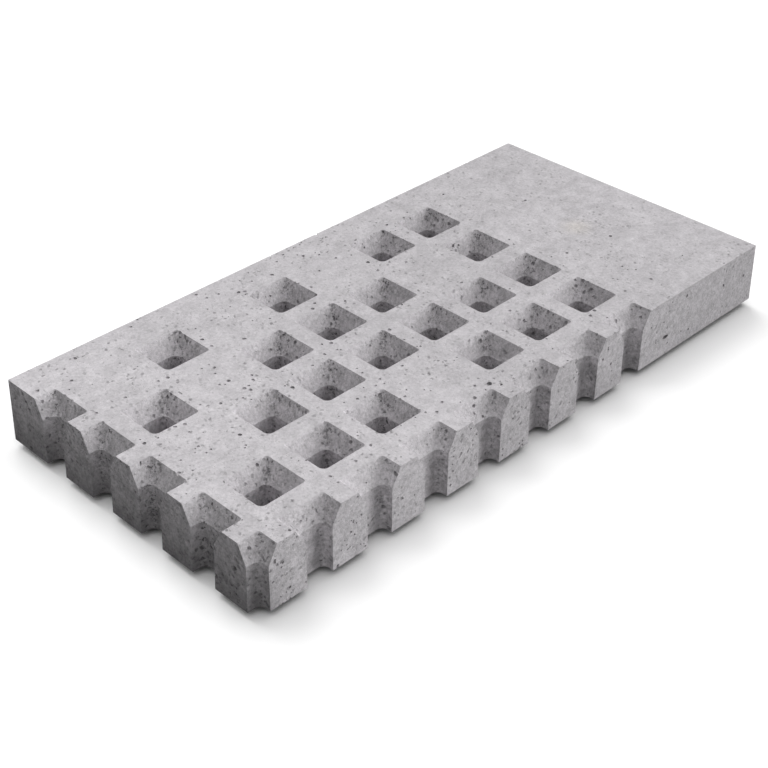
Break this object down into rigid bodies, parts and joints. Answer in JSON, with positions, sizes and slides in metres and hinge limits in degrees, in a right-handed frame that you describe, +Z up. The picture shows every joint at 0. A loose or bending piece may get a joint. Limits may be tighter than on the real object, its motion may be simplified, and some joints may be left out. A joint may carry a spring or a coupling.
{
  "type": "perforated concrete edge paving slab",
  "caption": "Flat concrete paving slab for the edge of a grass-joint area, with square funnel openings that thin out towards a plain border and half openings along the pierced edges.",
  "frame": {"origin": "centre of the slab's underside, on the ground", "axes": "+X along the length, from the pierced end to the plain end; +Y across the width, from the pierced long side to the plain long side; +Z up, out of the walked-on face"},
  "size_m": [1, 0.492, 0.095],
  "materials": {
    "concrete": "light grey fair-faced cast concrete, matt, with small air pores and faint mottling"
  },
  "bodies": {
    "root": {"slab": "concrete"}
  },
  "joints": []
}
